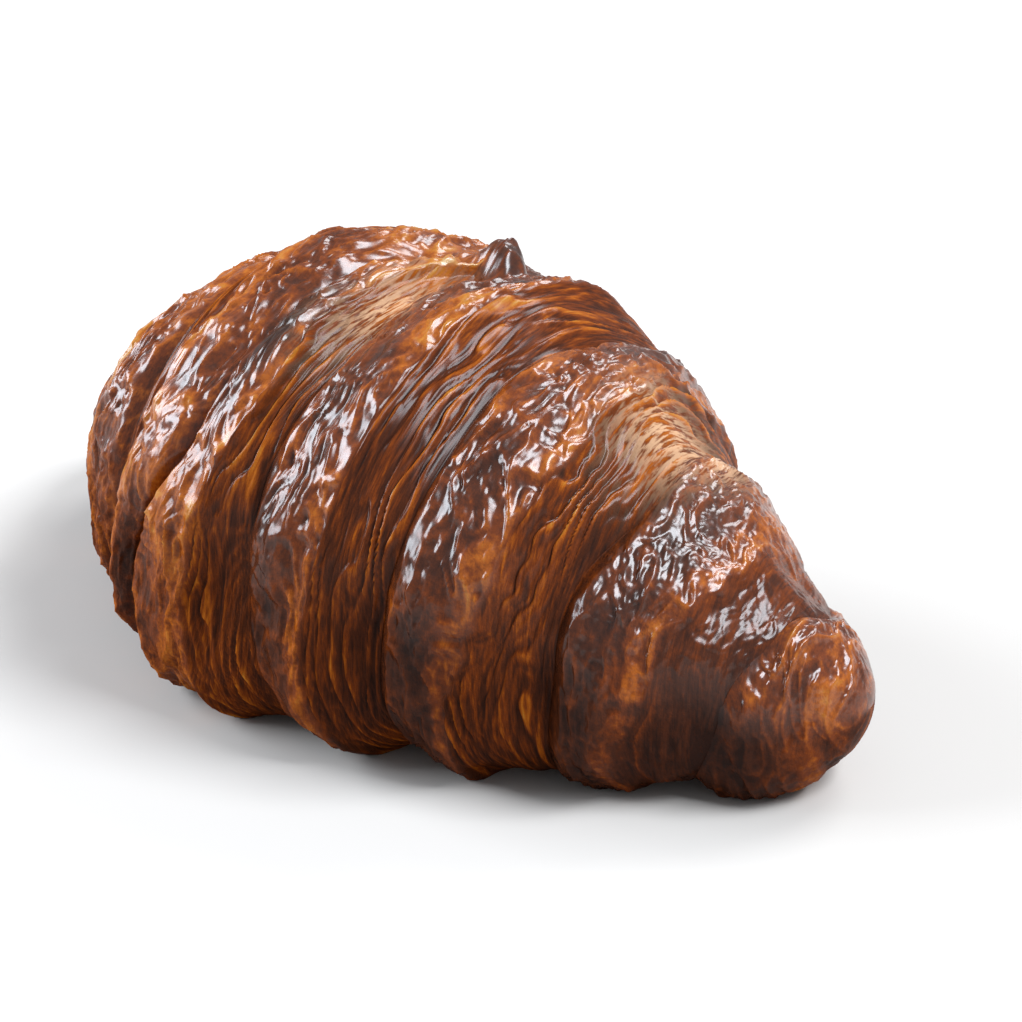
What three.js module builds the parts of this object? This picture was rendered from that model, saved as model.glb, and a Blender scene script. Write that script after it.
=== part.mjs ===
import * as THREE from 'three';

// A butter croissant, baked in one piece. A long triangle of layered dough is rolled up from its
// wide end, so each turn lies over the one before it and ends in a step that faces a horn.
// Millimetres, +Z up. The base rests on Z = 0 and both horns bend towards +Y.
//
// A place on the crust is told by its station, the distance in mm along the bent middle line
// from the middle of the belly, and by its angle round that line: 0 at the back, a quarter turn
// at the top, half a turn at the front.

const { degToRad, lerp, smoothstep } = THREE.MathUtils;

// The bent middle line: half of it is one arc from the belly to the end of a horn
const HALF_LENGTH = 75;
const HORN_BEND = degToRad(24.5);
const BEND_RADIUS = HALF_LENGTH / HORN_BEND;

// The plain outline of the roll, before its turns are stepped
const BELLY_HALF_WIDTH = 40;
const HORN_HALF_WIDTH = 11.5;
const BELLY_HEIGHT_SHARE = 0.755;
const HORN_HEIGHT_SHARE = 0.95;
const WAIST_SHARPNESS = 2.25;
const HORN_TAPER = 1.8;
const DOME_START = 0.85;
const HORN_LIFT = 3.0;

// Roundness of a cross-section: 2 is an ellipse, more is boxier
const TOP_ROUNDNESS = 1.82;
const BELLY_BASE_ROUNDNESS = 4.4;
const HORN_BASE_ROUNDNESS = 2.5;
const BASE_SINK = 1.3;

// Where the steps between the turns lie, in mm from the middle, and how far each leans
const STEPS = [
  { station: 24.2, towardsBack: 2.4, towardsTop: 0.4 },
  { station: 41.5, towardsBack: 0.6, towardsTop: 2.8 },
  { station: 60.5, towardsBack: 1.8, towardsTop: 5.5 },
];
const STEP_WANDER = 0.7;
const LEFT_STEPS_FURTHER_OUT = 4.4;

// The last turn to be rolled on is the narrow end of the triangle: it lies across the middle
// and comes to its end on top of the roll
const LAST_TURN_END = degToRad(66);
const LAST_TURN_END_LEFT = 1.2;
const LAST_TURN_LEFT = -8.8;
const LAST_TURN_RIGHT = 2.6;
const LAST_TURN_FOOT_LEFT = -19;
const LAST_TURN_FOOT_RIGHT = 8.8;

// Relief of one turn, in mm out from the plain outline
const CREASE_DEPTH = 3.0;
const HORN_CREASE_DEPTH = 1.4;
const SHOULDER_DEPTH = 0.8;
const CROWN_HEIGHT = 0.7;
const LIP_HEIGHT = 1.0;
const SHOULDER_SHARE = 0.14;
const LAST_SHOULDER_SHARE = 0.12;
const CRUST_SHARE = 0.58;
const CUT_BAND_DROP = 0.9;

// The soft underside spreads a little where the belly sits down at the front
const FOOT_SPREAD = 2.4;
const FOOT_STATION = -5;
const FOOT_HALF_LENGTH = 11;
const FOOT_ANGLE = degToRad(212);
const FOOT_HALF_ANGLE = degToRad(16);

// The little rolled flap at the very tip of the triangle
const FLAP_HEIGHT = 4.0;
const FLAP_STATION = 2.6;
const FLAP_HALF_LENGTH = 3.6;
const FLAP_HALF_WIDTH = 2.8;

const COLUMNS = 60;
const FULL_TURN = 2 * Math.PI;

// Rows of points across a turn, as shares of its width: closer together at the crease and the lip
const TURN_ROWS = [0, 0.06, 0.14, 0.26, 0.38, 0.5, 0.58, 0.67, 0.82];
const LAST_TURN_ROWS = [0.05, 0.12, 0.24, 0.36, 0.48, 0.58, 0.66, 0.76, 0.88];
const HORN_ROWS = [0, 0.08, 0.18, 0.34, 0.5, 0.64, 0.76, 0.86, 0.93, 0.98];

function middleLine(station) {
  const turned = Math.abs(station) / BEND_RADIUS;
  return {
    x: Math.sign(station) * BEND_RADIUS * Math.sin(turned),
    y: BEND_RADIUS * (1 - Math.cos(turned)),
    heading: station / BEND_RADIUS,
  };
}

// Half width and half height of the plain outline, and the height of its middle over the base
function outlineAt(station) {
  const out = Math.min(Math.abs(station) / HALF_LENGTH, 1);
  const taper = (1 - out ** WAIST_SHARPNESS) ** HORN_TAPER;
  const intoDome = Math.max(0, out - DOME_START) / (1 - DOME_START);
  const dome = Math.sqrt(Math.max(0, 1 - intoDome ** 2));
  const halfWidth = lerp(HORN_HALF_WIDTH, BELLY_HALF_WIDTH, taper) * dome;
  const share = lerp(BELLY_HEIGHT_SHARE, HORN_HEIGHT_SHARE, out);
  const fullHeight = lerp(HORN_HALF_WIDTH, BELLY_HALF_WIDTH, taper) * share;
  const lift = HORN_LIFT * Math.max(0, 2 * out - 1) ** 2;
  return { out, halfWidth, halfHeight: halfWidth * share, middle: fullHeight + lift - BASE_SINK };
}

function sectionRadius(outline, angle) {
  const base = lerp(BELLY_BASE_ROUNDNESS, HORN_BASE_ROUNDNESS, outline.out);
  const roundness = Math.sin(angle) >= 0 ? TOP_ROUNDNESS : base;
  const across = Math.abs(Math.cos(angle) / outline.halfWidth) ** roundness;
  const upright = Math.abs(Math.sin(angle) / outline.halfHeight) ** roundness;
  return (across + upright) ** (-1 / roundness);
}

// How far an angle lies past the end of the last turn, followed round over the front
function pastTheEnd(angle) {
  return (angle - LAST_TURN_END + FULL_TURN) % FULL_TURN;
}

// 0 behind the end of the last turn, where it is part of the turn below, 1 where it stands proud
function lastTurnShows(angle) {
  const past = pastTheEnd(angle);
  return smoothstep(past, 0, degToRad(14)) * (1 - smoothstep(past, degToRad(165), degToRad(205)));
}

// The narrow end widens towards the front, and spreads at its foot, first on the left
function lastTurnEdges(angle) {
  const past = pastTheEnd(angle);
  const backAgain = 1 - smoothstep(past, degToRad(200), degToRad(330));
  const opened = smoothstep(past, 0, degToRad(33)) * backAgain;
  const leftSpread = smoothstep(past, degToRad(92), degToRad(135)) * backAgain;
  const rightSpread = smoothstep(past, degToRad(128), degToRad(160)) * backAgain;
  return [
    lerp(LAST_TURN_END_LEFT, LAST_TURN_LEFT, opened) + (LAST_TURN_FOOT_LEFT - LAST_TURN_LEFT) * leftSpread,
    LAST_TURN_RIGHT + (LAST_TURN_FOOT_RIGHT - LAST_TURN_RIGHT) * rightSpread,
  ];
}

// Stations of every step at one angle, from the left horn's end to the right horn's
function stepsAt(angle) {
  const wander = (index) => STEP_WANDER * (Math.sin(3 * angle + 2.1 * index)
    + 0.6 * Math.sin(5 * angle + 4.4 * index));
  const right = STEPS.map((step, index) => step.station + wander(index)
    + step.towardsBack * Math.cos(angle) + step.towardsTop * Math.sin(angle));
  const left = STEPS.map((step, index) => -step.station - LEFT_STEPS_FURTHER_OUT + wander(index + 5)
    - step.towardsBack * Math.cos(angle) - step.towardsTop * Math.sin(angle));
  return [-HALF_LENGTH, ...left.reverse(), ...lastTurnEdges(angle), ...right, HALF_LENGTH];
}

// Relief across one turn: up out of the crease, over the crust to its lip, and down the cut band
function turnRelief(share) {
  if (share < SHOULDER_SHARE) {
    const rise = Math.sin((share / SHOULDER_SHARE) * Math.PI / 2);
    return lerp(-CREASE_DEPTH, -SHOULDER_DEPTH, rise);
  }
  if (share < CRUST_SHARE) {
    const along = (share - SHOULDER_SHARE) / (CRUST_SHARE - SHOULDER_SHARE);
    return lerp(-SHOULDER_DEPTH, LIP_HEIGHT, along) + CROWN_HEIGHT * Math.sin(Math.PI * along);
  }
  const down = (share - CRUST_SHARE) / (1 - CRUST_SHARE);
  const rolledOver = CUT_BAND_DROP * smoothstep(down, 0, 0.25) * (1 - down);
  return lerp(LIP_HEIGHT, -CREASE_DEPTH, down) - rolledOver;
}

// The last turn lies on top of both its neighbours, so it rises to its full height at its left edge
function lastTurnRelief(share) {
  if (share < LAST_SHOULDER_SHARE) {
    const rise = Math.sin((share / LAST_SHOULDER_SHARE) * Math.PI / 2);
    return lerp(-CREASE_DEPTH, LIP_HEIGHT, rise);
  }
  if (share < CRUST_SHARE) {
    const along = (share - LAST_SHOULDER_SHARE) / (CRUST_SHARE - LAST_SHOULDER_SHARE);
    return LIP_HEIGHT + 0.5 * CROWN_HEIGHT * Math.sin(Math.PI * along);
  }
  return turnRelief(share);
}

// The end of a horn rises from its crease and rounds off without a lip
function hornRelief(share) {
  const rise = Math.sin(Math.min(share / (2 * SHOULDER_SHARE), 1) * Math.PI / 2);
  return lerp(-HORN_CREASE_DEPTH, CROWN_HEIGHT, rise) * (1 - smoothstep(share, 0.5, 1));
}

// Slow swellings of the baked crust, and the spread foot
function lumpsAt(station, angle) {
  const swelling = 0.45 * Math.sin(0.21 * station + 3 * angle + 0.6)
    + 0.35 * Math.sin(0.34 * station - 5 * angle + 1.9)
    + 0.25 * Math.sin(0.57 * station + 8 * angle + 4.2);
  const fade = 1 - smoothstep(Math.abs(station), 0.85 * HALF_LENGTH, HALF_LENGTH);
  const alongFoot = (station - FOOT_STATION) / FOOT_HALF_LENGTH;
  const roundFoot = (angle - FOOT_ANGLE) / FOOT_HALF_ANGLE;
  return swelling * fade + FOOT_SPREAD * Math.exp(-(alongFoot ** 2) - roundFoot ** 2);
}

function flapAt(station, angle, radius) {
  const across = (station - FLAP_STATION) / FLAP_HALF_LENGTH;
  const round = (radius * (angle - LAST_TURN_END)) / FLAP_HALF_WIDTH;
  return FLAP_HEIGHT * Math.exp(-(across ** 4) - round ** 4);
}

function crustPoint(station, angle, relief) {
  const outline = outlineAt(station);
  const plain = sectionRadius(outline, angle);
  const slimness = Math.sqrt(outline.halfWidth / BELLY_HALF_WIDTH);
  const radius = plain + relief * Math.min(1, slimness + 0.15) + lumpsAt(station, angle)
    + flapAt(station, angle, plain);
  const line = middleLine(station);
  const sideways = radius * Math.cos(angle);
  const height = outline.middle + radius * Math.sin(angle);
  return [
    line.x - sideways * Math.sin(line.heading),
    line.y + sideways * Math.cos(line.heading),
    Math.max(0, height),
  ];
}

// Station and relief of each point along one angle, from horn to horn, without the two ends
function rowsAt(angle) {
  const steps = stepsAt(angle);
  const shows = lastTurnShows(angle);
  const middle = (steps.length - 2) / 2;
  const rows = [];
  const addTurn = (inner, outer, shares, reliefOf) => {
    const turn = shares.map((share) => ({ station: lerp(inner, outer, share), relief: reliefOf(share) }));
    rows.push(...(outer < inner ? turn.reverse() : turn));
  };
  // Beside the last turn the crease of its neighbour is only as deep as the last turn stands proud
  const besideLast = (share) => {
    const smooth = lerp(CROWN_HEIGHT, LIP_HEIGHT, Math.min(share / CRUST_SHARE, 1));
    return share < CRUST_SHARE ? lerp(smooth, turnRelief(share), shows) : turnRelief(share);
  };
  for (let turn = 0; turn < steps.length - 1; turn += 1) {
    const low = steps[turn];
    const high = steps[turn + 1];
    if (turn === 0) {
      addTurn(high, low, HORN_ROWS, hornRelief);
    } else if (turn === steps.length - 2) {
      addTurn(low, high, HORN_ROWS, hornRelief);
    } else if (turn === middle) {
      addTurn(low, high, LAST_TURN_ROWS, (share) => lerp(CROWN_HEIGHT, lastTurnRelief(share), shows));
    } else if (turn < middle) {
      addTurn(high, low, TURN_ROWS, turn === middle - 1 ? besideLast : turnRelief);
    } else {
      addTurn(low, high, TURN_ROWS, turn === middle + 1 ? besideLast : turnRelief);
    }
  }
  return rows;
}

function crustGeometry() {
  const columns = Array.from({ length: COLUMNS }, (_, column) => (column / COLUMNS) * FULL_TURN);
  const points = columns.map((angle) => rowsAt(angle)
    .map(({ station, relief }) => crustPoint(station, angle, relief)));
  const rowCount = points[0].length;
  const positions = [];
  for (let row = 0; row < rowCount; row += 1) {
    columns.forEach((_, column) => positions.push(...points[column][row]));
  }
  const leftEnd = rowCount * COLUMNS;
  const rightEnd = leftEnd + 1;
  for (const side of [-1, 1]) {
    const line = middleLine(side * HALF_LENGTH);
    positions.push(line.x, line.y, outlineAt(side * HALF_LENGTH).middle);
  }
  const faces = [];
  const at = (row, column) => row * COLUMNS + (column % COLUMNS);
  for (let column = 0; column < COLUMNS; column += 1) {
    faces.push(leftEnd, at(0, column + 1), at(0, column));
    for (let row = 0; row < rowCount - 1; row += 1) {
      faces.push(at(row, column), at(row, column + 1), at(row + 1, column));
      faces.push(at(row + 1, column), at(row, column + 1), at(row + 1, column + 1));
    }
    faces.push(rightEnd, at(rowCount - 1, column), at(rowCount - 1, column + 1));
  }
  const geometry = new THREE.BufferGeometry();
  geometry.setAttribute('position', new THREE.Float32BufferAttribute(positions, 3));
  geometry.setIndex(faces);
  // The origin is under the middle of the bounding box
  geometry.computeBoundingBox();
  const { min, max } = geometry.boundingBox;
  geometry.translate(-(min.x + max.x) / 2, -(min.y + max.y) / 2, 0);
  geometry.computeVertexNormals();
  return geometry;
}

const crust = new THREE.MeshStandardMaterial({ color: '#8a4a20', roughness: 0.35, metalness: 0 });
const croissant = new THREE.Mesh(crustGeometry(), crust);
croissant.name = 'croissant';

const part = new THREE.Group();
part.name = 'butter_croissant';
part.add(croissant);

export default part;
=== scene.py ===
# %% [markdown]
# # A butter croissant
# A croissant is one long triangle of layered dough, rolled up from its wide end, bent and baked.
# Each turn of the roll lies over the one before it, so the outside is a row of steps: a blistered,
# egg-washed crust, then a band where the cut edge of the dough shows its layers, then a crease out
# of which the next turn swells. The narrow end of the triangle lies across the middle as the last
# turn. The solid of the frame has these main forms. Here every turn becomes a mesh of its own, so
# that each has enough points for its blisters and layers.

# %% The frame
import math

import bpy
import numpy as np
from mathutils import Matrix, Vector, noise


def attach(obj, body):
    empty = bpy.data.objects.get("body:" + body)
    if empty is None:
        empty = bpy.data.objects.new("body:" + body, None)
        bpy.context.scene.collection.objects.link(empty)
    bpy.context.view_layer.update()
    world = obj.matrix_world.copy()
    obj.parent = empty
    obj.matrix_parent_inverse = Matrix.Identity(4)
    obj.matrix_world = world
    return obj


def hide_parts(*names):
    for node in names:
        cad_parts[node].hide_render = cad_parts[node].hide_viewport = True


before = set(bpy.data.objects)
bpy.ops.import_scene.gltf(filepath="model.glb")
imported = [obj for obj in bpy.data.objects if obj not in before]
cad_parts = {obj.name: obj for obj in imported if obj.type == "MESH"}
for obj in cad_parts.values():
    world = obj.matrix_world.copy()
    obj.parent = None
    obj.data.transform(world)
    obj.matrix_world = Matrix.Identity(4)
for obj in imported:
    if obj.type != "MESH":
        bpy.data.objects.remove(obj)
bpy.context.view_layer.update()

# %% [markdown]
# ## The plain roll
# A bent, tapering roll could be a curve with a bevel, but a curve gives round sections, and the
# dough sags flat on the board. So a place on the crust is told by its station, the distance in mm
# along the bent middle line, and by its angle round that line: 0 at the back, a quarter turn at the
# top, half a turn at the front. Small functions turn the two into a point. The sizes are the same
# as in the solid.

# %% The middle line and the outline of the roll
MM = 0.001
HALF_LENGTH = 75
HORN_BEND = math.radians(24.5)
BEND_RADIUS = HALF_LENGTH / HORN_BEND
BELLY_HALF_WIDTH = 40
HORN_HALF_WIDTH = 11.5
BELLY_HEIGHT_SHARE = 0.755
HORN_HEIGHT_SHARE = 0.95
WAIST_SHARPNESS = 2.25
HORN_TAPER = 1.8
DOME_START = 0.85
HORN_LIFT = 3.0
TOP_ROUNDNESS = 1.82
BELLY_BASE_ROUNDNESS = 4.4
HORN_BASE_ROUNDNESS = 2.5
BASE_SINK = 1.3
BELLY_FORWARD_OF_CENTRE = 0.35


def lerp(start, end, share):
    return start + (end - start) * share


def ease(value, start, end):
    """0 before start, 1 after end, and a smooth rise between them"""
    share = np.clip((value - start) / (end - start), 0, 1)
    return share * share * (3 - 2 * share)


def between_angles(angle, start, full, fading, end):
    """0 up to start, 1 between full and fading, 0 from end on, all in degrees"""
    rising = ease(angle, math.radians(start), math.radians(full))
    return rising * (1 - ease(angle, math.radians(fading), math.radians(end)))


def middle_line(station):
    """Place in plan and heading of the roll's middle line"""
    turned = np.abs(station) / BEND_RADIUS
    along = np.sign(station) * BEND_RADIUS * np.sin(turned)
    back = BEND_RADIUS * (1 - np.cos(turned)) + BELLY_FORWARD_OF_CENTRE
    return along, back, station / BEND_RADIUS


def outline_at(station):
    """Share of the way out, half width, half height and height of the middle"""
    out = np.minimum(np.abs(station) / HALF_LENGTH, 1)
    taper = (1 - out**WAIST_SHARPNESS) ** HORN_TAPER
    into_dome = np.maximum(0, out - DOME_START) / (1 - DOME_START)
    dome = np.sqrt(np.maximum(1e-9, 1 - into_dome**2))
    full_width = lerp(HORN_HALF_WIDTH, BELLY_HALF_WIDTH, taper)
    share = lerp(BELLY_HEIGHT_SHARE, HORN_HEIGHT_SHARE, out)
    lift = HORN_LIFT * np.maximum(0, 2 * out - 1) ** 2
    middle = full_width * share + lift - BASE_SINK
    return out, full_width * dome, full_width * dome * share, middle


def section_radius(station, angle):
    """Distance from the middle line to the plain crust"""
    out, half_width, half_height, _ = outline_at(station)
    base = lerp(BELLY_BASE_ROUNDNESS, HORN_BASE_ROUNDNESS, out)
    roundness = np.where(np.sin(angle) >= 0, TOP_ROUNDNESS, base)
    across = np.abs(np.cos(angle) / half_width) ** roundness
    upright = np.abs(np.sin(angle) / half_height) ** roundness
    return (across + upright) ** (-1 / roundness)


for place, name in ((0, "belly"), (0.9 * HALF_LENGTH, "horn")):
    _, half_width, half_height, _ = outline_at(place)
    print(f"the {name} is {2 * half_width:.1f} mm wide and {2 * half_height:.1f} mm high")

# %% [markdown]
# ## Where the turns begin and end
# The steps run round the roll, lean a little and wander, as hand-rolled dough does. The last turn
# is the narrow end of the triangle: it is wide under the front of the belly, narrows as it comes
# up the front, and ends on top in a little curled flap. Behind that end the turn below it shows.
# The edges could be drawn as curves by hand, but a few waves added to a slanting line can be
# followed all the way round and give the same edge to both turns that meet there.

# %% The steps between the turns
STEPS = [
    {"station": 24.2, "towards_back": 2.4, "towards_top": 0.4},
    {"station": 41.5, "towards_back": 0.6, "towards_top": 2.8},
    {"station": 60.5, "towards_back": 1.8, "towards_top": 5.5},
]
STEP_WANDER = 0.7
SECOND_WAVE = 0.6
LEFT_STEPS_FURTHER_OUT = 4.4
LEFT_WANDER_SHIFT = 5
LAST_TURN_END = math.radians(66)
LAST_TURN_END_LEFT = 1.2
LAST_TURN_LEFT = -8.8
LAST_TURN_RIGHT = 2.6
LAST_TURN_FOOT_LEFT = -19
LAST_TURN_FOOT_RIGHT = 8.8


def step_at(number, side, angle):
    """Station of a step, counted from the belly, on the right (side 1) or the left (side -1)"""
    step = STEPS[number]
    index = number + (LEFT_WANDER_SHIFT if side < 0 else 0)
    waves = np.sin(3 * angle + 2.1 * index) + SECOND_WAVE * np.sin(5 * angle + 4.4 * index)
    lean = step["towards_back"] * np.cos(angle) + step["towards_top"] * np.sin(angle)
    further = LEFT_STEPS_FURTHER_OUT if side < 0 else 0
    return side * (step["station"] + further + lean) + STEP_WANDER * waves


def past_the_end(angle):
    """How far an angle lies past the end of the last turn, followed round over the front"""
    return (angle - LAST_TURN_END) % (2 * math.pi)


def last_turn_shows(angle):
    """1 where the last turn lies on top, 0 behind its end and underneath"""
    return between_angles(past_the_end(angle), 0, 14, 165, 205)


def last_turn_edges(angle):
    """Stations of the left and the right edge of the last turn"""
    past = past_the_end(angle)
    back_again = 1 - ease(past, math.radians(200), math.radians(330))
    opened = ease(past, 0, math.radians(33)) * back_again
    left_spread = ease(past, math.radians(92), math.radians(135)) * back_again
    right_spread = ease(past, math.radians(128), math.radians(160)) * back_again
    left = lerp(LAST_TURN_END_LEFT, LAST_TURN_LEFT, opened)
    left = left + (LAST_TURN_FOOT_LEFT - LAST_TURN_LEFT) * left_spread
    return left, LAST_TURN_RIGHT + (LAST_TURN_FOOT_RIGHT - LAST_TURN_RIGHT) * right_spread


steps_on_top = [round(float(step_at(number, 1, math.pi / 2)), 1) for number in range(len(STEPS))]
print("stations of the right steps on top in mm:", steps_on_top)

# %% [markdown]
# ## The relief of one turn
# Across a turn the surface comes up out of its crease, swells over the crust to a lip, and drops
# down the cut band to the next crease. The share of the way across says where we are: 0 at the
# crease near the belly, 1 at the crease near the horn. Sculpting would do it too, but a profile that
# is worked out from the share fits every turn, however wide it is.

# %% The main relief
CREASE_DEPTH = 3.0
HORN_CREASE_DEPTH = 1.4
SHOULDER_DEPTH = 0.8
CROWN_HEIGHT = 0.7
LIP_HEIGHT = 1.0
SHOULDER_SHARE = 0.14
LAST_SHOULDER_SHARE = 0.12
CRUST_SHARE = 0.58
CUT_BAND_DROP = 0.9
FOOT_SPREAD = 2.4
FOOT_STATION = -5
FOOT_HALF_LENGTH = 11
FOOT_ANGLE = math.radians(212)
FOOT_HALF_ANGLE = math.radians(16)
FLAP_HEIGHT = 4.0
FLAP_STATION = 2.6
FLAP_HALF_LENGTH = 3.6
FLAP_HALF_WIDTH = 2.8
SWELLINGS_END = 0.85
SWELLINGS = [
    {"height": 0.45, "along": 0.21, "round": 3, "shift": 0.6},
    {"height": 0.35, "along": 0.34, "round": -5, "shift": 1.9},
    {"height": 0.25, "along": 0.57, "round": 8, "shift": 4.2},
]


def turn_relief(share, outer_crease=CREASE_DEPTH):
    """Height in mm over the plain outline, for shares between 0 and 1"""
    rise = np.sin(np.clip(share / SHOULDER_SHARE, 0, 1) * math.pi / 2)
    shoulder = lerp(-CREASE_DEPTH, -SHOULDER_DEPTH, rise)
    along = np.clip((share - SHOULDER_SHARE) / (CRUST_SHARE - SHOULDER_SHARE), 0, 1)
    crust = lerp(-SHOULDER_DEPTH, LIP_HEIGHT, along) + CROWN_HEIGHT * np.sin(math.pi * along)
    down = np.clip((share - CRUST_SHARE) / (1 - CRUST_SHARE), 0, 1)
    cut = lerp(LIP_HEIGHT, -outer_crease, down) - CUT_BAND_DROP * ease(down, 0, 0.25) * (1 - down)
    return np.where(share < SHOULDER_SHARE, shoulder, np.where(share < CRUST_SHARE, crust, cut))


def last_turn_relief(share):
    """The last turn lies on both its neighbours, so its left edge stands up at once"""
    rise = np.sin(np.clip(share / LAST_SHOULDER_SHARE, 0, 1) * math.pi / 2)
    shoulder = lerp(-CREASE_DEPTH, LIP_HEIGHT, rise)
    along = np.clip((share - LAST_SHOULDER_SHARE) / (CRUST_SHARE - LAST_SHOULDER_SHARE), 0, 1)
    crust = LIP_HEIGHT + 0.5 * CROWN_HEIGHT * np.sin(math.pi * along)
    raised = np.where(share < LAST_SHOULDER_SHARE, shoulder, crust)
    return np.where(share < CRUST_SHARE, raised, turn_relief(share))


def horn_relief(share):
    """The end of a horn rises from its crease and rounds off without a lip"""
    rise = np.sin(np.minimum(share / (2 * SHOULDER_SHARE), 1) * math.pi / 2)
    return lerp(-HORN_CREASE_DEPTH, CROWN_HEIGHT, rise) * (1 - ease(share, 0.5, 1))


def lumps_at(station, angle, radius):
    """Slow swellings, the spread foot of the belly and the curled flap"""
    swelling = sum(
        wave["height"] * np.sin(wave["along"] * station + wave["round"] * angle + wave["shift"])
        for wave in SWELLINGS
    )
    fade = 1 - ease(np.abs(station), SWELLINGS_END * HALF_LENGTH, HALF_LENGTH)
    along_foot = (station - FOOT_STATION) / FOOT_HALF_LENGTH
    round_foot = (angle - FOOT_ANGLE) / FOOT_HALF_ANGLE
    across_flap = (station - FLAP_STATION) / FLAP_HALF_LENGTH
    round_flap = radius * (angle - LAST_TURN_END) / FLAP_HALF_WIDTH
    foot = FOOT_SPREAD * np.exp(-(along_foot**2) - round_foot**2)
    return swelling * fade + foot + FLAP_HEIGHT * np.exp(-(across_flap**4) - round_flap**4)


profile = turn_relief(np.linspace(0, 1, 101))
print(f"a turn goes from {profile.min():.1f} mm in its crease to {profile.max():.1f} mm at its highest")

# %% [markdown]
# ## Blisters and layers
# Steam lifts the egg-washed skin into blisters that are drawn out round the turn. Between them it
# dries into folds, and over all lie a fine crackle and small pimples. In the cut band the leaves of
# the dough stand out like the pages of a book, every few of them in a higher terrace. All this could
# be bump in the material, but then the outline and the mesh would stay smooth, so the points are
# moved. The noise is read at the place on the straightened roll, so that it has no seam.

# %% Fine relief
FOLD_HEIGHT = 0.85
SMALL_FOLD_HEIGHT = 0.38
SWELLING_HEIGHT = 1.3
CRACKLE_HEIGHT = 0.16
PIMPLE_HEIGHT = 0.34
BLISTER_HEIGHT = 0.9
TERRACE_HEIGHT = 0.5
TERRACE_PITCH = 1.5
LEAF_HEIGHT = 0.2
LEAF_PITCH = 0.6
FOLD_SPACING = (3.0, 12, 12)
SMALL_FOLD_SPACING = (1.8, 4.4, 4.4)
BLISTER_SPACING = (2.6, 5.0, 5.0)
CRACKLE_SPACING = (0.8, 2.6, 2.6)
PIMPLE_SPACING = (0.8, 1.3, 1.3)
SWELLING_SPACING = (7, 15, 15)
PIMPLES_ON_THE_BELLY = 0.45
MORE_PIMPLES_ON_THE_HORN = 0.65
FOLD_SHARPNESS = 3.4
SMALL_FOLD_SHARPNESS = 3.2
CREST_HOLLOWNESS = 1.4
MEAN_FOLD = 0.35
MEAN_BLISTER = 0.2
MEAN_LEAF = 0.4


def wander(places, size, shift):
    """Smooth noise of about -0.6 to 0.6, whose swellings are size mm apart along X, Y and Z

    Each kind of relief has a shift of its own, so that no two of them fall in the same places.
    """
    moved = (places / np.array(size) + shift).reshape(-1, 3).tolist()
    values = [noise.noise(place) for place in moved]
    return np.array(values).reshape(places.shape[:-1])


def crest(value, sharpness):
    """1 where the value crosses 0, falling off on both sides"""
    return np.maximum(0, 1 - np.abs(value) * sharpness) ** CREST_HOLLOWNESS


def wrinkled(places, roughness):
    """Height of the blistered skin, and how near each point is to the crest of a fold"""
    bend = np.stack([
        wander(places, (8, 8, 8), 3.1) * 2.6,
        wander(places, (6, 6, 6), 5.9) * 4,
        wander(places, (6, 6, 6), 9.2) * 4,
    ], -1)
    bent = places + bend
    folds = crest(wander(bent, FOLD_SPACING, 11.7), FOLD_SHARPNESS)
    small_folds = crest(wander(bent, SMALL_FOLD_SPACING, 23.9), SMALL_FOLD_SHARPNESS)
    blisters = np.abs(wander(bent, BLISTER_SPACING, 31.3)) - MEAN_BLISTER
    crackle = wander(bent, CRACKLE_SPACING, 97.3)
    pimpled = PIMPLES_ON_THE_BELLY + MORE_PIMPLES_ON_THE_HORN * ease(places[..., 0], 20, 50)
    pimples = np.abs(wander(places, PIMPLE_SPACING, 103.9)) * pimpled
    swelling = wander(places, SWELLING_SPACING, 37.3)
    where_folded = 0.55 + 0.9 * wander(places, (11, 18, 18), 43.3)
    coarse = (
        FOLD_HEIGHT * (folds - MEAN_FOLD) * where_folded
        + SMALL_FOLD_HEIGHT * (small_folds - MEAN_FOLD)
        + BLISTER_HEIGHT * blisters
        + SWELLING_HEIGHT * swelling
    )
    height = coarse * roughness + CRACKLE_HEIGHT * crackle + PIMPLE_HEIGHT * pimples
    return height, np.maximum(folds * np.clip(where_folded + 0.2, 0, 1), 0.7 * small_folds)


def layered(places, below_lip):
    """Height of the dough's leaves in a cut band, and how near each point is to a leaf's edge"""
    drift = wander(places, (4, 30, 30), 51.3) * 1.5 + wander(places, (2, 11, 11), 63.1) * 0.7
    terrace = (below_lip / TERRACE_PITCH + drift) % 1.0
    leaf = (below_lip / LEAF_PITCH + 2.7 * drift + wander(places, (1, 11, 11), 71.9)) % 1.0
    step = ease(terrace, 0, 0.14) * (1 - ease(terrace, 0.16, 1.0))
    thin_step = ease(leaf, 0, 0.3) * (1 - ease(leaf, 0.35, 1.0))
    strength = np.clip(0.8 + 1.3 * wander(places, (5, 16, 16), 83.3), 0.1, 1.5)
    height = TERRACE_HEIGHT * strength * (step - MEAN_LEAF) + LEAF_HEIGHT * (thin_step - MEAN_LEAF)
    return height, np.maximum(step**3 * strength, 0.45 * thin_step**2)


sample = np.stack([np.linspace(-HALF_LENGTH, HALF_LENGTH, 500), np.zeros(500), np.zeros(500)], -1)
skin_heights, _ = wrinkled(sample, 1.0)
print(f"the skin goes up and down between {skin_heights.min():.2f} and {skin_heights.max():.2f} mm")

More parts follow.
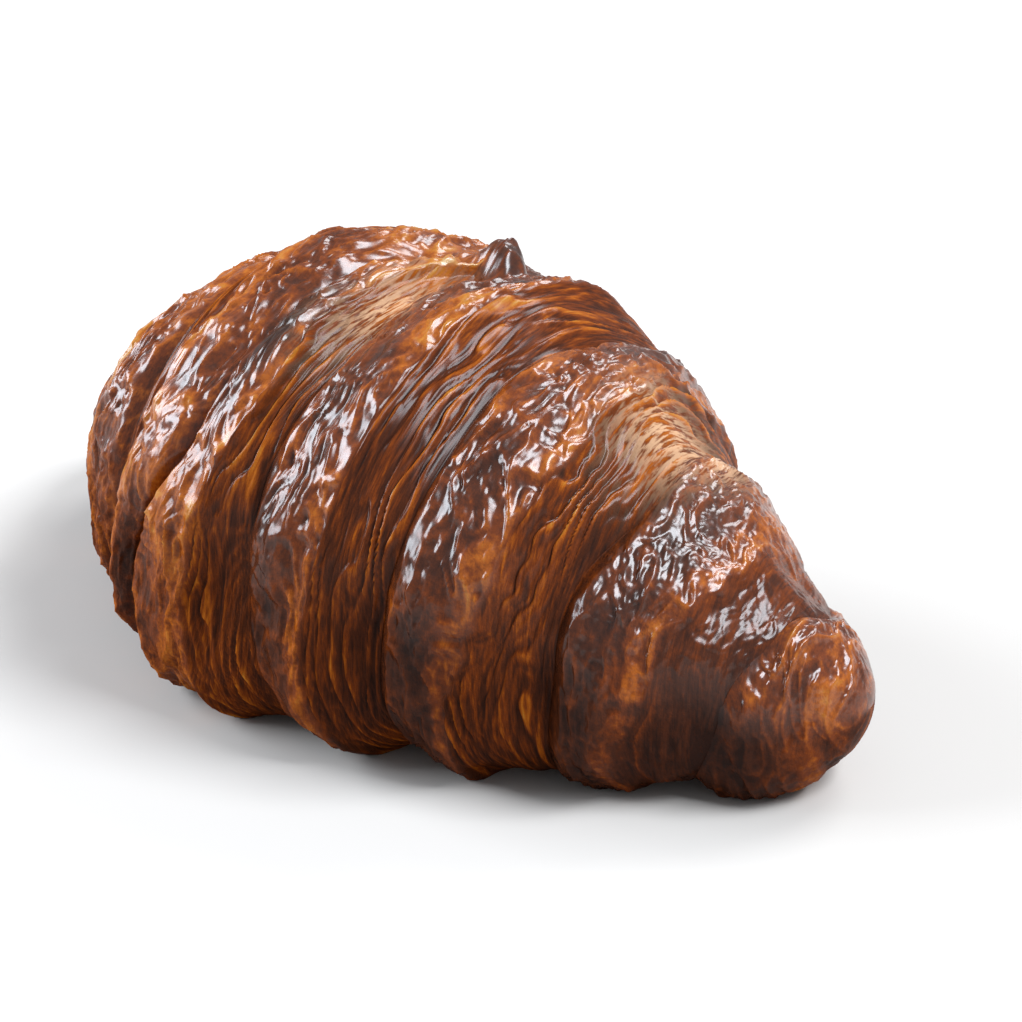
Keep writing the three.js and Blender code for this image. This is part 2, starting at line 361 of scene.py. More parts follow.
# %% [markdown]
# ## Making a turn
# Every turn starts as the dough does, as a flat sheet: a grid whose rows lie across the turn, from
# under one neighbour, over the crust, to under the other. The sheet is rolled round the middle line
# until its two long edges meet in a seam, which is welded. Its first and last row are each drawn
# together to one point inside the roll, so that the mesh is closed. A cylinder would do as well, but
# a sheet keeps its points in rows and columns, where numbers can reach them. What the material
# needs to know, such as whether a point lies in a cut band, is kept as attributes of the mesh.

# %% From a sheet to a turn
WELD_DISTANCE = 1e-6
SLIM_END_RELIEF = 0.15
CRUST_RINGS = 58
BAND_RINGS = 48
SHOULDER_RINGS = 12
COLUMNS = 380


def round_the_roll(columns):
    """The angle of every column, from the seam once round to the seam"""
    return np.linspace(0, 2 * math.pi, columns + 1)[None, :]


def flat_sheet(name, rows, columns):
    """A flat grid of points, and for each of them its row and its column"""
    bpy.ops.object.select_all(action="DESELECT")
    bpy.ops.mesh.primitive_grid_add(x_subdivisions=columns, y_subdivisions=rows + 1, size=1)
    piece = bpy.context.object
    piece.name = name
    piece.data.name = name
    points = np.empty(len(piece.data.vertices) * 3)
    piece.data.vertices.foreach_get("co", points)
    points = points.reshape(-1, 3) + 0.5
    column = np.rint(points[:, 0] * columns).astype(int)
    row = np.rint(points[:, 1] * (rows + 1)).astype(int)
    return piece, row, column


def shape_piece(name, station, angle, relief, facts):
    """Rolls a sheet round the given stations and heights and welds its seam and both its ends"""
    rows = station.shape[0]
    columns = station.shape[1] - 1
    piece, row, column = flat_sheet(name, rows, columns)
    _, half_width, _, middle = outline_at(station)
    plain = section_radius(station, angle)
    less_on_slim_ends = np.minimum(1, np.sqrt(half_width / BELLY_HALF_WIDTH) + SLIM_END_RELIEF)
    radius = plain + relief * less_on_slim_ends + lumps_at(station, angle, plain)
    along, back, heading = middle_line(station)
    sideways = radius * np.cos(angle)
    height = np.maximum(0, middle + radius * np.sin(angle))
    grid = np.stack([along - sideways * np.sin(heading), back + sideways * np.cos(heading), height], -1)
    grid[:, -1] = grid[:, 0]
    facts["place"] = np.stack([station, sideways, radius * np.sin(angle)], -1)
    inner_row = np.clip(row - 1, 0, rows - 1)
    points = grid[inner_row, column]
    for end, nearest in ((0, 0), (rows + 1, rows - 1)):
        points[row == end] = grid[nearest, :-1].mean(axis=0)
    piece.data.vertices.foreach_set("co", (points * MM).ravel())
    for fact, values in facts.items():
        values = np.broadcast_to(values, station.shape + values.shape[2:])
        spread = values[inner_row, column].astype(np.float32)
        kind, field = ("FLOAT_VECTOR", "vector") if values.ndim == 3 else ("FLOAT", "value")
        piece.data.attributes.new(fact, kind, "POINT").data.foreach_set(field, spread.ravel())
    finish_mesh(piece)
    return piece


def finish_mesh(piece):
    """Welds the seam, points the faces outward and lets the piece ride on the croissant's body"""
    bpy.ops.object.mode_set(mode="EDIT")
    bpy.ops.mesh.select_all(action="SELECT")
    bpy.ops.mesh.remove_doubles(threshold=WELD_DISTANCE)
    bpy.ops.mesh.normals_make_consistent(inside=False)
    bpy.ops.object.mode_set(mode="OBJECT")
    bpy.ops.object.shade_smooth()
    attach(piece, "root")
    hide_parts("croissant")
    triangles = sum(len(face.vertices) - 2 for face in piece.data.polygons)
    print(piece.name, triangles, "triangles")


def straightened(station, angle):
    """Place in mm on the roll if it were unbent: along it, then across and up"""
    radius = section_radius(station, angle)
    return np.stack([station, radius * np.cos(angle), radius * np.sin(angle)], -1)


# %% [markdown]
# ## The turns between the belly and the horns
# Two turns step down from the belly to each horn. They could be copies of one mesh, scaled down,
# but each has its own slant and its own skin, so one function makes the four of them from the steps
# on either side. The rings lie closer together in the cut band, where the layers need more points.
# At its belly side a turn runs on under its neighbour, and at its horn side it curls in under its
# own cut edge. The hidden rings there are given as pairs, a share and a height in mm.

# %% The side turns
TUCK_UNDER = [(-0.16, -2.2), (-0.1, -1.2), (-0.05, -0.5)]
CURL_IN = [(1.0, -0.8), (0.97, -2.0), (0.9, -3.2)]
LIP_WAVES = 0.16
LIP_RAGS = 0.05
FLATTENED_BY_THE_BOARD = 0.7
FLATTENED_ON_TOP = 0.45
LIP_BACK_LOW_IN_FRONT = 0.06
TOP = math.radians(72)
TOP_HALF_WIDTH = math.radians(34)
LEAST_CUT = 0.2
THIRD_TURN_ROUGHNESS = 0.8
THIRD_TURN_LAYERING = 0.3


def side_shares():
    """Share across the turn of each visible ring"""
    shoulder = np.linspace(0, SHOULDER_SHARE, SHOULDER_RINGS, endpoint=False)
    crust = np.linspace(SHOULDER_SHARE, CRUST_SHARE, CRUST_RINGS, endpoint=False)
    return np.concatenate([shoulder, crust, np.linspace(CRUST_SHARE, 1, BAND_RINGS)])


def ragged_lip(share, places, shift):
    """Moves the rings near the lip to and fro, so that the crust ends in an uneven edge"""
    near_lip = np.exp(-(((share - CRUST_SHARE) / 0.2) ** 2))
    slow = wander(places, (60, 18, 18), 81.7) * LIP_WAVES
    jagged = wander(places, (60, 3.2, 3.2), 93.1) * LIP_RAGS
    return share + near_lip * (slow + jagged + shift)


def above_the_board(angle):
    """1 where the dough is free, less where it lies flat on the board"""
    return 1 - FLATTENED_BY_THE_BOARD * between_angles(angle, 200, 222, 318, 340)


def dress(share, width, station, angle, relief, roughness, layering=1.0):
    """Adds the fine relief to a turn and gathers the facts that the materials need"""
    places = straightened(station, angle)
    in_band = ease(share, CRUST_SHARE - 0.01, CRUST_SHARE + 0.025)
    below_lip = np.maximum(0, share - CRUST_SHARE) * width
    skin, fold = wrinkled(places, roughness)
    skin = skin * ease(share, 0.0, 0.14)
    leaves, edge = layered(places, below_lip)
    on_top = np.exp(-(((angle - TOP) / TOP_HALF_WIDTH) ** 2))
    leaves = leaves * layering * (1 - ease(share, 0.94, 1.0))
    leaves = leaves * above_the_board(angle) * (1 - FLATTENED_ON_TOP * on_top)
    cut = in_band * min(1.0, LEAST_CUT + layering)
    facts = {
        "band": cut,
        "edge": edge * in_band,
        "fold": fold * (1 - in_band),
        "crease": np.maximum(1 - ease(share, 0, 0.13), ease(share, 0.88, 1.0)),
        "share": share,
        "angle": np.broadcast_to(angle, station.shape).copy(),
    }
    return relief + skin * (1 - cut) + leaves * in_band, facts


def with_ends(share, sink, before, after):
    """Puts hidden rings before and after the visible ones: their shares and how far each is sunk"""
    shares = np.concatenate([[b[0] for b in before], share, [a[0] for a in after]])
    sinks = np.concatenate([[b[1] for b in before], sink, [a[1] for a in after]])
    return shares[:, None], sinks[:, None]


def side_turn(name, side, number, roughness, layering, outer_crease):
    """A turn between two steps, with how rough its skin is and how far its leaves stand out"""
    angle = round_the_roll(COLUMNS)
    visible = side_shares()
    share, sunk = with_ends(visible, np.zeros_like(visible), TUCK_UNDER, CURL_IN)
    start = step_at(number, side, angle)
    end = step_at(number + 1, side, angle)
    share = share + 0 * angle
    shift = -LIP_BACK_LOW_IN_FRONT * between_angles(angle, 175, 205, 290, 350)
    wavy = ragged_lip(share, straightened(lerp(start, end, share), angle), shift)
    station = lerp(start, end, wavy)
    relief = turn_relief(np.clip(share, 0, 1), outer_crease)
    relief, facts = dress(share, np.abs(end - start), station, angle, relief, roughness, layering)
    return shape_piece(name, station, angle + 0 * station, relief + sunk, facts)


pieces = []
for side, word in ((-1, "left"), (1, "right")):
    pieces.append(side_turn(f"{word}_turn_2", side, 0, 1.0, 1.0, CREASE_DEPTH))
    third = side_turn(
        f"{word}_turn_3", side, 1, THIRD_TURN_ROUGHNESS, THIRD_TURN_LAYERING, HORN_CREASE_DEPTH
    )
    pieces.append(third)

# %% [markdown]
# ## The middle turn
# The turn under the last one is whole at the back and shows on both sides of the last turn at the
# front, so it is one wide piece with a cut band at each end. It could be two pieces, but then the
# back would need a seam that the real one hasn't. Under the last turn it is pressed down.

# %% The middle turn
UNDER_LAST_RINGS = 8
UNDER_LAST_WIDTH = 10
OPEN_CRUST_SHARE = 0.3


def middle_turn():
    """The two halves of the turn, rolled from one sheet, with the rings between them hidden"""
    angle = round_the_roll(COLUMNS)
    left_edge, right_edge = last_turn_edges(angle)
    shows = last_turn_shows(angle)
    visible = side_shares()
    share, sunk = with_ends(visible, np.zeros_like(visible), [], CURL_IN)
    under = np.linspace(0, 1, UNDER_LAST_RINGS + 2)[1:-1, None]
    station = np.concatenate([
        lerp(left_edge, step_at(0, -1, angle), share)[::-1],
        lerp(left_edge, right_edge, under),
        lerp(right_edge, step_at(0, 1, angle), share),
    ])
    shares = np.concatenate([share[::-1] + 0 * angle, 0 * under + 0 * angle, share + 0 * angle])
    width = np.concatenate([
        (left_edge - step_at(0, -1, angle)) + 0 * share,
        UNDER_LAST_WIDTH + 0 * under + 0 * angle,
        (step_at(0, 1, angle) - right_edge) + 0 * share,
    ])
    sunk = np.concatenate([sunk[::-1], 0 * under, sunk])
    smooth = lerp(CROWN_HEIGHT, LIP_HEIGHT, np.minimum(shares / CRUST_SHARE, 1))
    beside = lerp(smooth, turn_relief(np.clip(shares, 0, 1)), shows)
    relief = np.where(shares < CRUST_SHARE, beside, turn_relief(np.clip(shares, 0, 1)))
    crust_share = lerp(np.maximum(shares, OPEN_CRUST_SHARE), shares, shows)
    shares = np.where(shares < CRUST_SHARE, crust_share, shares)
    relief, facts = dress(shares, width, station, angle, relief, 1.0)
    return shape_piece("middle_turn", station, angle + 0 * station, relief + sunk, facts)


pieces.append(middle_turn())

# %% [markdown]
# ## The last turn
# The narrow end of the triangle lies across the front of the belly. Its left side is crust right up
# to the edge and stands up from the middle turn, and its right side ends in a cut band. It could be
# a strip laid on the roll, but a closed ring is made like all the others: where it has come to its
# end, behind the flap, the ring sinks under the middle turn and can't be seen.

# %% The last turn
LAST_TURN_SINK = 1.6
LIP_BACK_NEAR_THE_FLAP = 0.16
LEFT_TUCK = [(0.1, -3.4), (0.03, -2.2), (0.0, -0.8)]


def last_turn():
    """The narrow end of the triangle, which stands proud of both its neighbours"""
    angle = round_the_roll(COLUMNS)
    left_edge, right_edge = last_turn_edges(angle)
    shows = last_turn_shows(angle)
    visible = side_shares()
    share, sunk = with_ends(visible, np.zeros_like(visible), LEFT_TUCK, CURL_IN)
    share = share + 0 * angle
    past = past_the_end(angle)
    shift = -LIP_BACK_NEAR_THE_FLAP * (1 - ease(past, math.radians(45), math.radians(85)))
    places = straightened(lerp(left_edge, right_edge, share), angle)
    station = lerp(left_edge, right_edge, ragged_lip(share, places, shift))
    proud = last_turn_relief(np.clip(share, 0, 1))
    relief = lerp(CROWN_HEIGHT, proud, shows) - LAST_TURN_SINK * (1 - shows)
    relief, facts = dress(share, right_edge - left_edge, station, angle, relief, 1.0)
    return shape_piece("last_turn", station, angle + 0 * station, relief + sunk, facts)


pieces.append(last_turn())

# %% [markdown]
# ## The horns
# The end of a horn is a blunt cap with no cut band, the wound-up corner of the wide side of the
# triangle. It is made from a sheet like the turns. Only its rings draw together towards the tip,
# where the cap bends fastest.

# %% The horns
HORN_RINGS = 120
HORN_COLUMNS = 300
HORN_ROUGHNESS = 0.9
SMOOTHER_TIP = 0.35
RINGS_DRAW_TOGETHER = 1.2
HORN_CRUST_SHARE = 0.3


def horn(name, side):
    """The blunt end of the roll beyond its last step"""
    angle = round_the_roll(HORN_COLUMNS)
    visible = np.sin(np.linspace(0, math.pi / 2, HORN_RINGS + 1)[:-1]) ** RINGS_DRAW_TOGETHER
    share, sunk = with_ends(visible, np.zeros_like(visible), TUCK_UNDER, [])
    start = step_at(2, side, angle)
    station = lerp(start, side * HALF_LENGTH, share)
    places = straightened(station, angle)
    skin, fold = wrinkled(places, HORN_ROUGHNESS)
    skin = skin * ease(share, 0, 0.15) * (1 - SMOOTHER_TIP * ease(share, 0.8, 1))
    relief = horn_relief(np.clip(share, 0, 1)) + skin + sunk
    facts = {
        "band": 0 * station,
        "edge": 0 * station,
        "fold": fold,
        "crease": 1 - ease(share + 0 * angle, 0, 0.12),
        "share": HORN_CRUST_SHARE + 0 * station,
        "angle": angle + 0 * station,
    }
    return shape_piece(name, station, angle + 0 * station, relief, facts)


pieces.append(horn("left_horn", -1))
pieces.append(horn("right_horn", 1))

# %% [markdown]
# ## A helper for the materials
# A material is a graph of nodes. It could be wired by hand in the editor, but written out link by
# link it is hard to read. So a small class wraps a socket and lets plain arithmetic add the Math
# nodes, and one method makes every other node: its settings first, then its sockets.

# %% Sums on sockets
MIX_FACTOR = 0
MIX_FIRST_COLOUR = 6
MIX_SECOND_COLOUR = 7
MIX_COLOUR_RESULT = 2


class Value:
    """A socket that holds a number and can be used in plain arithmetic"""

    def __init__(self, shader, socket):
        self.shader = shader
        self.socket = socket

    def sum(self, operation, first, second):
        return self.shader.node("ShaderNodeMath", {"operation": operation}, {0: first, 1: second})["Value"]

    def __add__(self, other):
        return self.sum("ADD", self, other)

    __radd__ = __add__

    def __mul__(self, other):
        return self.sum("MULTIPLY", self, other)

    __rmul__ = __mul__

    def __sub__(self, other):
        return self.sum("SUBTRACT", self, other)

    def __rsub__(self, other):
        return self.sum("SUBTRACT", other, self)

    def size(self):
        return self.sum("ABSOLUTE", self, 0.0)

    def clamped(self):
        return self.shader.node("ShaderNodeClamp", {}, {"Value": self})["Result"]

    def between(self, low, high):
        """0 below low, 1 above high, smooth between"""
        settings = {"interpolation_type": "SMOOTHSTEP"}
        sockets = {"Value": self, "From Min": low, "From Max": high}
        return self.shader.node("ShaderNodeMapRange", settings, sockets)["Result"]


class Outputs:
    """The outputs of a node, by name or by number"""

    def __init__(self, shader, made):
        self.shader = shader
        self.made = made

    def __getitem__(self, name):
        return Value(self.shader, self.made.outputs[name])


class Shader:
    """Builds the nodes of one material"""

    def __init__(self, name):
        self.material = bpy.data.materials.new(name)
        self.material.use_nodes = True
        self.tree = self.material.node_tree
        self.tree.nodes.clear()

    def node(self, kind, settings, sockets):
        made = self.tree.nodes.new(kind)
        for name, setting in settings.items():
            if name == "stops":
                self.set_stops(made.color_ramp, setting)
            else:
                setattr(made, name, setting)
        for name, value in sockets.items():
            if isinstance(value, Value):
                self.tree.links.new(value.socket, made.inputs[name])
            else:
                made.inputs[name].default_value = value
        return Outputs(self, made)

    def set_stops(self, ramp, stops):
        while len(ramp.elements) < len(stops):
            ramp.elements.new(1.0)
        for element, (place, colour) in zip(ramp.elements, stops):
            element.position = place
            element.color = (*colour, 1.0)

    def attribute(self, name):
        return self.node("ShaderNodeAttribute", {"attribute_name": name}, {})

    def stretched(self, vector, factors):
        settings = {"operation": "MULTIPLY"}
        return self.node("ShaderNodeVectorMath", settings, {0: vector, 1: factors})["Vector"]

    def noise(self, vector, scale, detail=3.0, roughness=0.55, distortion=0.0):
        sockets = {"Vector": vector, "Scale": scale, "Detail": detail, "Roughness": roughness}
        sockets["Distortion"] = distortion
        return self.node("ShaderNodeTexNoise", {}, sockets)["Fac"]

    def ramp(self, factor, stops):
        return self.node("ShaderNodeValToRGB", {"stops": stops}, {"Fac": factor})["Color"]

    def mix(self, factor, first, second):
        """The Mix node has a set of sockets for each kind of data; these are the ones for colours"""
        settings = {"data_type": "RGBA", "blend_type": "MIX"}
        sockets = {MIX_FACTOR: factor, MIX_FIRST_COLOUR: first, MIX_SECOND_COLOUR: second}
        return self.node("ShaderNodeMix", settings, sockets)[MIX_COLOUR_RESULT]

    def finish(self, surface):
        output = self.tree.nodes.new("ShaderNodeOutputMaterial")
        self.tree.links.new(surface.socket, output.inputs["Surface"])
        return self.material


# %% [markdown]
# ## The crust
# Baked dough goes from gold through orange and red-brown to nearly black. How far it has gone
# depends on the place, and it changes in patches, specks and streaks that run round the roll. The
# cut bands show dark leaves with thin orange edges. Colours could be painted on, but one ramp of
# browning keeps them true to each other, and everything else only moves the place on that ramp.
# The egg wash is a thin, glassy film, so all the shine is in the coat: the dough under it has none
# of its own. The brush reached the top and the sides, hardly the part near the board, and the cut
# bands and the dry, pale flakes took little of it. Each number below with BY in its name says how
# far one of the patterns moves the browning; the one for the creases adds painted shade.

# %% The colours of baked dough
PALE = (0.45, 0.28, 0.12)
GOLD = (0.37, 0.138, 0.016)
ORANGE = (0.29, 0.071, 0.005)
RED_BROWN = (0.13, 0.0262, 0.004)
DARK_BROWN = (0.055, 0.0135, 0.0045)
BLACK_BROWN = (0.021, 0.0068, 0.0038)
DRY_FLAKE = (0.52, 0.31, 0.18)
EGG_WASH_ROUGHNESS = 0.225
EGG_WASH_IOR = 1.5
BUMP_STRENGTH = 0.5
BUMP_HEIGHT = 0.6 * MM
DRAWN_OUT = (1.0, 0.4, 0.4)
STREAKY = (1.0, 0.08, 0.08)
MIDDLE = 0.5
BY_PATCHES = 0.65
BY_MOTTLE = 0.4
BY_STREAKS = 0.18
BY_FINE_STREAKS = 0.14
BY_THIN_LINES = 0.06
BY_SPECKS = 0.5
BY_FOLDS = 0.28
CRUST_START = 0.1
BAND_BY_BAKING = 0.6
BAND_START = 0.38
BAND_BY_STREAKS = 0.8
BAND_BY_EDGES = 0.34
# Darkens the ramp in every crease: painted shade, not browning
BY_PAINTED_CREASE_SHADE = 0.1
THIN_LINE_SHARPNESS = 14
FLAKE_LEVEL = 1.5
FLAKE_SOFT_EDGE = 0.16
FLAKE_COVER = 0.9
LESS_WASH_ON_FLAKES = 0.35
LESS_WASH_ON_BANDS = 0.68
BAKING = [
    (0.0, PALE),
    (0.18, GOLD),
    (0.36, ORANGE),
    (0.56, RED_BROWN),
    (0.76, DARK_BROWN),
    (1.0, BLACK_BROWN),
]


def crust_material():
    shader = Shader("egg_washed_crust")
    place = shader.attribute("place")["Vector"]
    band = shader.attribute("band")["Fac"]
    edge = shader.attribute("edge")["Fac"]
    fold = shader.attribute("fold")["Fac"]
    crease = shader.attribute("crease")["Fac"]
    bake = shader.attribute("bake")["Fac"]
    dry = shader.attribute("dry")["Fac"]
    washed = shader.attribute("washed")["Fac"]
    drawn_out = shader.stretched(place, DRAWN_OUT)
    streaky = shader.stretched(place, STREAKY)
    patches = shader.noise(drawn_out, 0.2, distortion=0.6)
    mottle = shader.noise(drawn_out, 0.55, detail=4.0, roughness=0.6, distortion=0.6)
    streaks = shader.noise(streaky, 1.1, detail=4.0, roughness=0.65)
    fine_streaks = shader.noise(streaky, 3.4, roughness=0.6)
    specks = shader.noise(place, 0.9, roughness=0.6)

    lines = 1 - (fine_streaks - MIDDLE).size() * THIN_LINE_SHARPNESS
    thin_lines = lines.clamped() * mottle.between(0.42, 0.6)

    crust_level = bake + (patches - MIDDLE) * BY_PATCHES + (mottle - MIDDLE) * BY_MOTTLE
    crust_level = crust_level + (streaks - MIDDLE) * BY_STREAKS
    crust_level = crust_level + (fine_streaks - MIDDLE) * BY_FINE_STREAKS - thin_lines * BY_THIN_LINES
    crust_level = crust_level + (specks - MIDDLE) * BY_SPECKS - fold * BY_FOLDS + CRUST_START
    band_streaks = (streaks - MIDDLE) * BAND_BY_STREAKS + (fine_streaks - MIDDLE) * BAND_BY_STREAKS
    band_level = bake * BAND_BY_BAKING + BAND_START + band_streaks - edge * BAND_BY_EDGES
    # The crease term here is painted shade in the creases
    level = crust_level * (1 - band) + band_level * band + crease * BY_PAINTED_CREASE_SHADE
    baked = shader.ramp(level.clamped(), BAKING)
    flakes = streaks + mottle * 0.5 + fine_streaks * 1.5 - FLAKE_LEVEL
    flaky = dry * flakes.between(-FLAKE_SOFT_EDGE, FLAKE_SOFT_EDGE) * FLAKE_COVER
    colour = shader.mix(flaky, baked, (*DRY_FLAKE, 1.0))

    bubbles = shader.noise(drawn_out, 2.2, roughness=0.6)
    grain = shader.noise(place, 3.6, detail=2.0, roughness=0.5)
    cells = shader.node("ShaderNodeTexVoronoi", {}, {"Vector": drawn_out, "Scale": 1.15})
    tiny_bubbles = (1 - cells["Distance"].between(0.05, 0.42)) * patches.between(0.42, 0.56)
    gloss = washed * (1.0 - flaky * LESS_WASH_ON_FLAKES - band * LESS_WASH_ON_BANDS).clamped()
    roughness = (0.24 + band * 0.12 + (mottle - MIDDLE) * 0.4 + flaky * 0.35).clamped()
    height = bubbles * (1 - band * 0.6) + grain * 0.35 + fine_streaks * (0.35 + band * 0.4)
    height = height + tiny_bubbles * 0.5 * (1 - band)
    bump = shader.node(
        "ShaderNodeBump", {}, {"Height": height, "Strength": BUMP_STRENGTH, "Distance": BUMP_HEIGHT}
    )["Normal"]
    surface = shader.node(
        "ShaderNodeBsdfPrincipled",
        {},
        {
            "Base Color": colour,
            "Roughness": roughness,
            "Normal": bump,
            "Specular IOR Level": 0.0,
            "Coat Weight": gloss,
            "Coat Roughness": EGG_WASH_ROUGHNESS,
            "Coat IOR": EGG_WASH_IOR,
        },
    )["BSDF"]
    print("the crust has", len(shader.tree.nodes), "nodes")
    return shader.finish(surface)


crust = crust_material()

# %% [markdown]
# ## Where the oven was hotter, and where light and shade are painted
# The browning isn't even. The low front of this croissant is painted darkest, as painted shade, and
# the top of the near half is orange to gold, partly golden baking and partly painted light. Each lip
# is golden and the shoulder behind it dark, and where a turn comes out of its crease it was covered
# for a while and stayed lighter, with a painted sheen added there too. A few patches lie anywhere,
# and in three places the skin is dry, pale and flaky. All this could be painted by hand, but a list
# of patches, each with its place on the roll, can be read and changed. The browning, with its painted
# light and shade, is worked out for each point and kept as one more attribute.

# %% The browning of each point
TURN_BROWNING = {
    "left_horn": 0.55,
    "left_turn_3": 0.56,
    "left_turn_2": 0.55,
    "middle_turn": 0.65,
    "last_turn": 0.56,
    "right_turn_2": 0.65,
    "right_turn_3": 0.7,
    "right_horn": 0.52,
}
PATCHES = [
    {"what": "orange beside the last turn",
     "station": -13.5, "angle": 168, "long": 4.5, "wide": 15, "browner": -0.27},
    {"what": "pale end of the last turn's band",
     "station": 0.5, "angle": 92, "long": 5, "wide": 24, "browner": -0.2},
    {"what": "dark top of the last turn",
     "station": -5, "angle": 130, "long": 5, "wide": 18, "browner": 0.2},
    {"what": "golden foot of the last turn",
     "station": -17, "angle": 212, "long": 8, "wide": 12, "browner": -0.36},
    {"what": "pale crease between the two right turns",
     "station": 42.5, "angle": 84, "long": 3.5, "wide": 22, "browner": -0.2},
    {"what": "golden patch low on the third turn",
     "station": 50, "angle": 178, "long": 4, "wide": 9, "browner": -0.14},
    {"what": "golden end of the near horn",
     "station": 74, "angle": 200, "long": 5, "wide": 90, "browner": -0.1},
    # Lighter on top: partly golden baking, partly painted light
    {"what": "golden top of the near turns",
     "station": 36, "angle": 92, "long": 10, "wide": 26, "browner": -0.07},
    {"what": "golden top behind the flap",
     "station": -12, "angle": 74, "long": 10, "wide": 20, "browner": -0.22},
    # Lighter on top: partly golden baking, partly painted light
    {"what": "golden band on top beside the last turn",
     "station": 21, "angle": 76, "long": 8, "wide": 30, "browner": -0.2},
    {"what": "brown flap",
     "station": 2.6, "angle": 66, "long": 3.5, "wide": 8, "browner": 0.26},
]
DRY_PATCHES = [
    {"what": "the last turn's band on top", "station": 0, "angle": 104, "long": 4.5, "wide": 20},
    {"what": "the crease between the near turns", "station": 41, "angle": 84, "long": 5, "wide": 24},
    {"what": "the top of the third turn's step", "station": 46, "angle": 60, "long": 4, "wide": 16},
]
# Painted shade: the low front is pushed darker on the browning ramp
PAINTED_SHADE_LOW_IN_FRONT = 0.15
LIGHTER_UNDERNEATH = 0.1
# Lighter where a turn leaves its crease: partly less-baked dough, partly painted sheen
LIGHTER_UNCOVERED_WITH_SHEEN = 0.06
LIGHTER_LIP = 0.19
DARKER_SHOULDER = 0.07
SLOW_CHANGE = 0.2
SLOW_CHANGE_SPACING = (16, 26, 26)
UNCOVERED_WIDTH = 0.16
LIP_BEHIND_EDGE = 0.06
LIP_WIDTH = 0.08
DARK_SHOULDER_SHARE = 0.24
DARK_SHOULDER_WIDTH = 0.13
LESS_WASH_NEAR_THE_BOARD = 0.8


def read(piece, name, width=1):
    """An attribute of a piece as numbers, one for each point, or three where it is a place"""
    values = np.empty(len(piece.data.vertices) * width, dtype=np.float32)
    field = "vector" if width == 3 else "value"
    piece.data.attributes[name].data.foreach_get(field, values)
    return values.reshape(-1, width) if width > 1 else values


def brown(piece):
    """Works out each point's browning with its painted shade and light, its dryness and its egg wash"""
    place = read(piece, "place", 3)
    angle = read(piece, "angle") % (2 * math.pi)
    share = read(piece, "share")
    low_front_shade = between_angles(angle, 160, 205, 225, 250)
    underneath = between_angles(angle, 228, 250, 290, 312)
    uncovered_with_sheen = np.exp(-((share / UNCOVERED_WIDTH) ** 2))
    slow = wander(place, SLOW_CHANGE_SPACING, 7.7)
    lip = np.exp(-(((share - CRUST_SHARE + LIP_BEHIND_EDGE) / LIP_WIDTH) ** 2))
    shoulder = np.exp(-(((share - DARK_SHOULDER_SHARE) / DARK_SHOULDER_WIDTH) ** 2))
    # The darker low front is painted shade; the lighter rim by each crease is partly less-baked dough,
    # partly painted sheen
    values = TURN_BROWNING[piece.name] + PAINTED_SHADE_LOW_IN_FRONT * low_front_shade
    values = values - LIGHTER_UNDERNEATH * underneath - LIGHTER_UNCOVERED_WITH_SHEEN * uncovered_with_sheen
    values = values - LIGHTER_LIP * lip + DARKER_SHOULDER * shoulder + SLOW_CHANGE * slow
    for patch in PATCHES:
        values = values + patch["browner"] * nearness(patch, place, angle)
    write(piece, "bake", values)
    write(piece, "dry", np.minimum(1, sum(nearness(patch, place, angle) for patch in DRY_PATCHES)))
    write(piece, "washed", 1 - LESS_WASH_NEAR_THE_BOARD * ease(-np.sin(angle), -0.42, 0.25))
    print(f"{piece.name} is baked to {values.mean():.2f} of the ramp")


def nearness(patch, place, angle):
    """1 in the middle of a patch and 0 well outside it"""
    along = (place[:, 0] - patch["station"]) / patch["long"]
    around = (np.degrees(angle) - patch["angle"]) / patch["wide"]
    return np.exp(-(along**2) - around**2)


def write(piece, name, values):
    layer = piece.data.attributes.new(name, "FLOAT", "POINT")
    layer.data.foreach_set("value", values.astype(np.float32))


for piece in pieces:
    brown(piece)
    piece.data.materials.clear()
    piece.data.materials.append(crust)

# %% [markdown]
# ## The table
# The photo's object stands on plain white with only a soft shadow, so the floor is a plain pale
# sheet that belongs to the stage and not to the object. A white floor under this much light would
# glare, so it is a middle grey, which the lights bring up to white. They are a little blue, so it is
# a little warm to keep its shadow neutral.

# %% The floor
FLOOR_SIZE = 6.0
FLOOR_COLOUR = (0.49, 0.46, 0.43, 1.0)


def floor_material():
    shader = Shader("pale_floor")
    sockets = {"Base Color": FLOOR_COLOUR, "Roughness": 0.9}
    return shader.finish(shader.node("ShaderNodeBsdfPrincipled", {}, sockets)["BSDF"])


bpy.ops.object.select_all(action="DESELECT")
bpy.ops.mesh.primitive_plane_add(size=FLOOR_SIZE, location=(0, 0, 0))
floor = bpy.context.object
floor.name = "floor"
floor.data.materials.append(floor_material())
print("the floor is", FLOOR_SIZE, "m wide")

# %% [markdown]
# ## Light
# The highlights on the real crust are broad and a little blue: one big window to the left and in
# front, another high on the right, and a weaker light from behind. Lamps would give hard sparks, so
# three large area lights stand for the windows, and a pale, faintly blue sky fills the shadows.

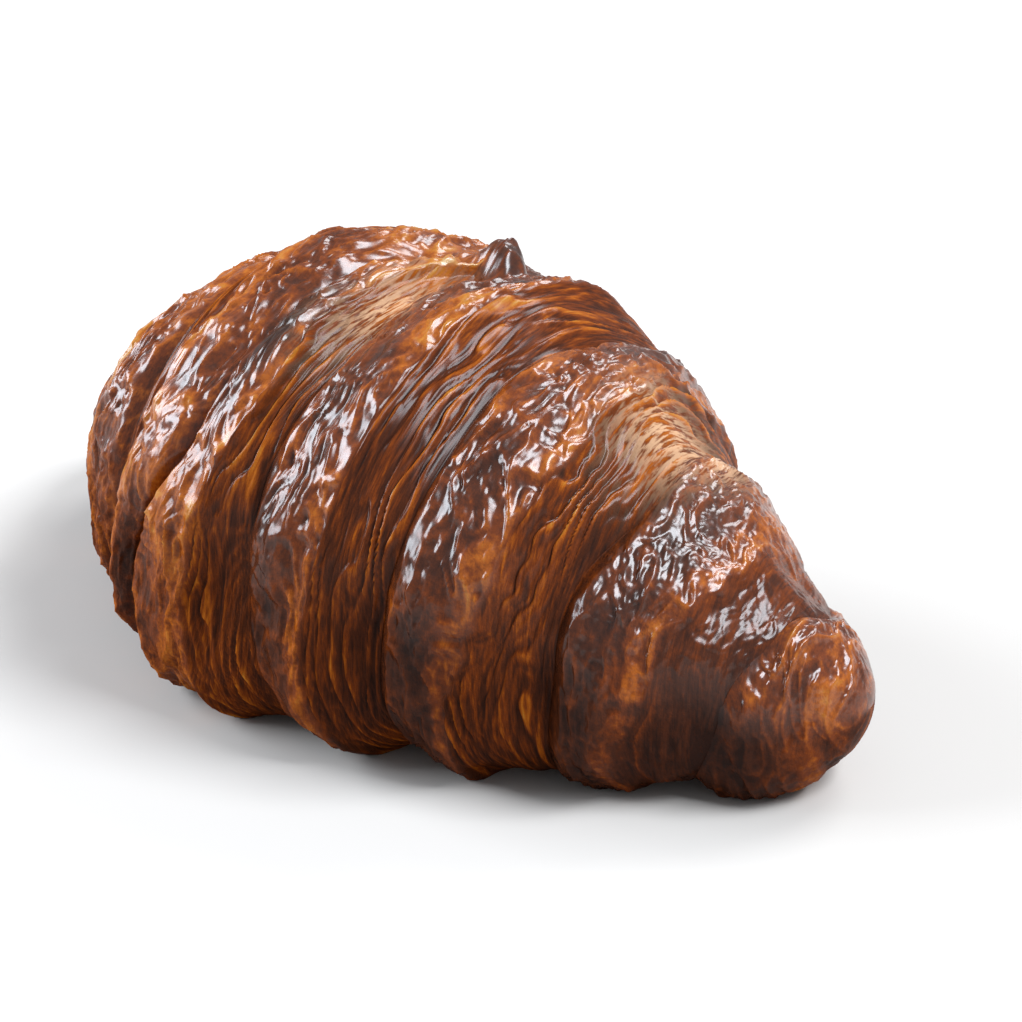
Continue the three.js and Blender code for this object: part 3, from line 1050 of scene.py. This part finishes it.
# %% The lights
def window(name, azimuth, elevation, distance, size, power, colour):
    """A large soft light that looks at the croissant from a direction given in degrees"""
    turn = math.radians(azimuth)
    rise = math.radians(elevation)
    outward = Vector((math.sin(turn) * math.cos(rise), -math.cos(turn) * math.cos(rise), math.sin(rise)))
    bpy.ops.object.light_add(type="AREA", location=outward * distance)
    light = bpy.context.object
    light.name = name
    light.rotation_euler = outward.to_track_quat("Z", "Y").to_euler()
    light.data.shape = "RECTANGLE"
    light.data.size = size[0]
    light.data.size_y = size[1]
    light.data.energy = power
    light.data.color = colour
    print(name, power, "W from", azimuth, "degrees round and", elevation, "degrees up")


window("window_left", -56, 27, 1.4, (1.1, 0.7), 37, (0.83, 0.91, 1.0))
window("window_right", 112, 52, 1.5, (0.8, 0.6), 34, (0.87, 0.93, 1.0))
window("window_back", 185, 45, 1.5, (0.6, 0.5), 12, (0.92, 0.96, 1.0))

SKY_COLOUR = (0.41, 0.43, 0.46, 1.0)
world = bpy.data.worlds.new("soft_sky")
world.use_nodes = True
sky = world.node_tree.nodes["Background"].inputs
sky["Color"].default_value = SKY_COLOUR
sky["Strength"].default_value = 1.0
bpy.context.scene.world = world
bpy.context.scene.view_settings.view_transform = "Standard"

# %% [markdown]
# ## The camera
# The photo looks at the right half nearly broadside and down by about 25 degrees, so the left horn
# hides behind the belly. A wide lens close by would swell the near horn; a long lens from 60 cm
# keeps the perspective as mild as it is in the photo.

# %% The camera
CAMERA_AZIMUTH = math.radians(43.7)
CAMERA_ELEVATION = math.radians(25.2)
CAMERA_ROLL = math.radians(1.3)
CAMERA_DISTANCE = 0.6
LOOK_AT = Vector((0.0182, 0.0, 0.029))
SENSOR_WIDTH = 36
LENS = 148.4

outward = Vector((
    math.sin(CAMERA_AZIMUTH) * math.cos(CAMERA_ELEVATION),
    -math.cos(CAMERA_AZIMUTH) * math.cos(CAMERA_ELEVATION),
    math.sin(CAMERA_ELEVATION),
))
bpy.ops.object.camera_add(location=LOOK_AT + outward * CAMERA_DISTANCE)
camera = bpy.context.object
camera.rotation_euler = outward.to_track_quat("Z", "Y").to_euler()
camera.rotation_euler.rotate_axis("Z", CAMERA_ROLL)
camera.data.sensor_width = SENSOR_WIDTH
camera.data.lens = LENS
bpy.context.scene.camera = camera
print("the camera is at", [round(value * 1000) for value in camera.location], "mm")
